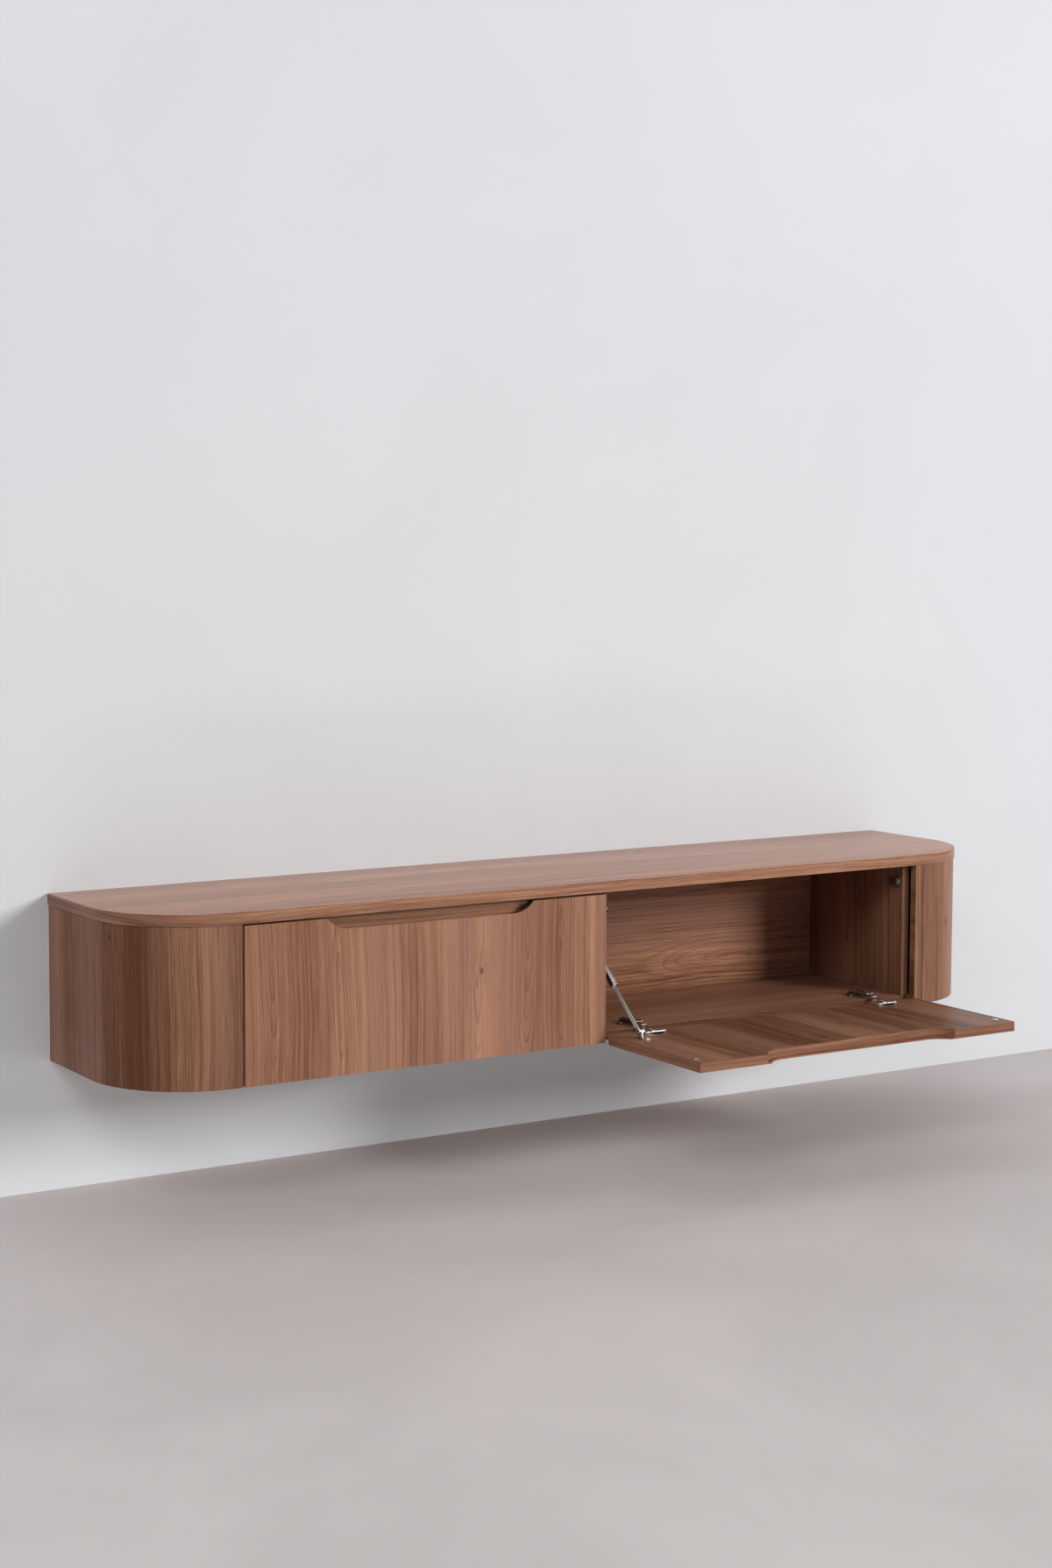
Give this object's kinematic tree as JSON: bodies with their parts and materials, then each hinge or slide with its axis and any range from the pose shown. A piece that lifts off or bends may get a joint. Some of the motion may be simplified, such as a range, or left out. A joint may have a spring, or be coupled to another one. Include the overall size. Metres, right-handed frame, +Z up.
{
  "type": "floating media console",
  "caption": "Wall-hung media console with D-shaped ends, a thin top panel and drop-down flaps with scooped finger pulls, concealed hinges and lid stays.",
  "frame": {"origin": "middle of the wall rail's rear face, in the plane of the wall", "axes": "+X along the console to the viewer's right, +Y into the wall, +Z up; the front faces -Y"},
  "size_m": [2, 0.679, 0.32],
  "materials": {
    "walnut_top": "satin",
    "walnut": "satin",
    "walnut_end": "satin",
    "nickel": "polished",
    "steel": "satin"
  },
  "bodies": {
    "case": {"top_panel": "walnut_top", "bottom_panel": "walnut", "left_curved_end": "walnut_end", "right_curved_end": "walnut_end", "left_partition": "walnut_end", "centre_divider": "walnut_end", "right_partition": "walnut_end", "left_back_panel": "walnut", "right_back_panel": "walnut", "left_end_back": "walnut", "right_end_back": "walnut", "left_front_rail": "walnut", "left_flap_left_hinge_plate": "nickel", "left_flap_left_hinge_arm": "nickel", "left_flap_left_hinge_pin": "nickel", "left_flap_right_hinge_plate": "nickel", "left_flap_right_hinge_arm": "nickel", "left_flap_right_hinge_pin": "nickel", "left_left_catch": "steel", "left_right_catch": "steel", "left_stay_bracket": "nickel", "right_flap_left_hinge_plate": "nickel", "right_flap_left_hinge_arm": "nickel", "right_flap_left_hinge_pin": "nickel", "right_flap_right_hinge_plate": "nickel", "right_flap_right_hinge_arm": "nickel", "right_flap_right_hinge_pin": "nickel", "right_left_catch": "steel", "right_right_catch": "steel", "right_stay_bracket": "nickel", "wall_rail": "steel", "left_hanger": "steel", "centre_hanger": "steel", "right_hanger": "steel"},
    "left_flap": {"left_flap": "walnut", "left_flap_left_hinge_cup": "nickel", "left_flap_right_hinge_cup": "nickel", "left_left_strike": "nickel", "left_right_strike": "nickel", "left_stay_foot": "nickel"},
    "right_flap": {"right_flap": "walnut", "right_flap_left_hinge_cup": "nickel", "right_flap_right_hinge_cup": "nickel", "right_left_strike": "nickel", "right_right_strike": "nickel", "right_stay_foot": "nickel"},
    "left_flap_left_hinge_link": {"left_flap_left_hinge_link": "nickel"},
    "left_flap_right_hinge_link": {"left_flap_right_hinge_link": "nickel"},
    "left_stay_sleeve": {"left_stay_sleeve": "steel"},
    "left_stay_rod": {"left_stay_rod": "nickel"},
    "right_flap_left_hinge_link": {"right_flap_left_hinge_link": "nickel"},
    "right_flap_right_hinge_link": {"right_flap_right_hinge_link": "nickel"},
    "right_stay_sleeve": {"right_stay_sleeve": "steel"},
    "right_stay_rod": {"right_stay_rod": "nickel"}
  },
  "joints": [
    {"name": "left_flap_hinge", "type": "hinge", "parent": "case", "child": "left_flap", "pos_m": [-0.3925, -0.3845, -0.2545], "axis": [1, 0, 0], "range_deg": [0, 90]},
    {"name": "left_flap_left_hinge_knuckle", "type": "hinge", "parent": "case", "child": "left_flap_left_hinge_link", "pos_m": [-0.688, -0.3565, -0.2225], "axis": [1, 0, 0], "range_deg": [0, 103.3]},
    {"name": "left_flap_right_hinge_knuckle", "type": "hinge", "parent": "case", "child": "left_flap_right_hinge_link", "pos_m": [-0.097, -0.3565, -0.2225], "axis": [1, 0, 0], "range_deg": [0, 103.3]},
    {"name": "left_stay_pivot", "type": "hinge", "parent": "case", "child": "left_stay_sleeve", "pos_m": [-0.753, -0.2705, -0.0605], "axis": [1, 0, 0], "range_deg": [-9.1, 0]},
    {"name": "left_stay_slide", "type": "slide", "parent": "left_stay_sleeve", "child": "left_stay_rod", "axis": [0, -0.6256, -0.7801], "range_m": [0, 0.0981]},
    {"name": "right_flap_hinge", "type": "hinge", "parent": "case", "child": "right_flap", "pos_m": [0.3925, -0.3845, -0.2545], "axis": [1, 0, 0], "range_deg": [-90, 0]},
    {"name": "right_flap_left_hinge_knuckle", "type": "hinge", "parent": "case", "child": "right_flap_left_hinge_link", "pos_m": [0.097, -0.3565, -0.2225], "axis": [1, 0, 0], "range_deg": [-103.3, 0]},
    {"name": "right_flap_right_hinge_knuckle", "type": "hinge", "parent": "case", "child": "right_flap_right_hinge_link", "pos_m": [0.688, -0.3565, -0.2225], "axis": [1, 0, 0], "range_deg": [-103.3, 0]},
    {"name": "right_stay_pivot", "type": "hinge", "parent": "case", "child": "right_stay_sleeve", "pos_m": [0.032, -0.2705, -0.0605], "axis": [1, 0, 0], "range_deg": [0, 9.1]},
    {"name": "right_stay_slide", "type": "slide", "parent": "right_stay_sleeve", "child": "right_stay_rod", "axis": [0, -0.7399, -0.6727], "range_m": [-0.0981, 0]}
  ],
  "couplings": [
    {"joint": "left_flap_left_hinge_knuckle", "follows": "left_flap_hinge", "ratio": 1.1467},
    {"joint": "left_flap_right_hinge_knuckle", "follows": "left_flap_hinge", "ratio": 1.1467},
    {"joint": "left_stay_pivot", "follows": "left_flap_hinge", "ratio": -0.1},
    {"joint": "left_stay_slide", "follows": "left_flap_hinge", "m_per_rad": 0.062389},
    {"joint": "right_flap_left_hinge_knuckle", "follows": "right_flap_hinge", "ratio": 1.1467},
    {"joint": "right_flap_right_hinge_knuckle", "follows": "right_flap_hinge", "ratio": 1.1467},
    {"joint": "right_stay_pivot", "follows": "right_flap_hinge", "ratio": -0.1},
    {"joint": "right_stay_slide", "follows": "right_flap_hinge", "m_per_rad": 0.062389}
  ]
}
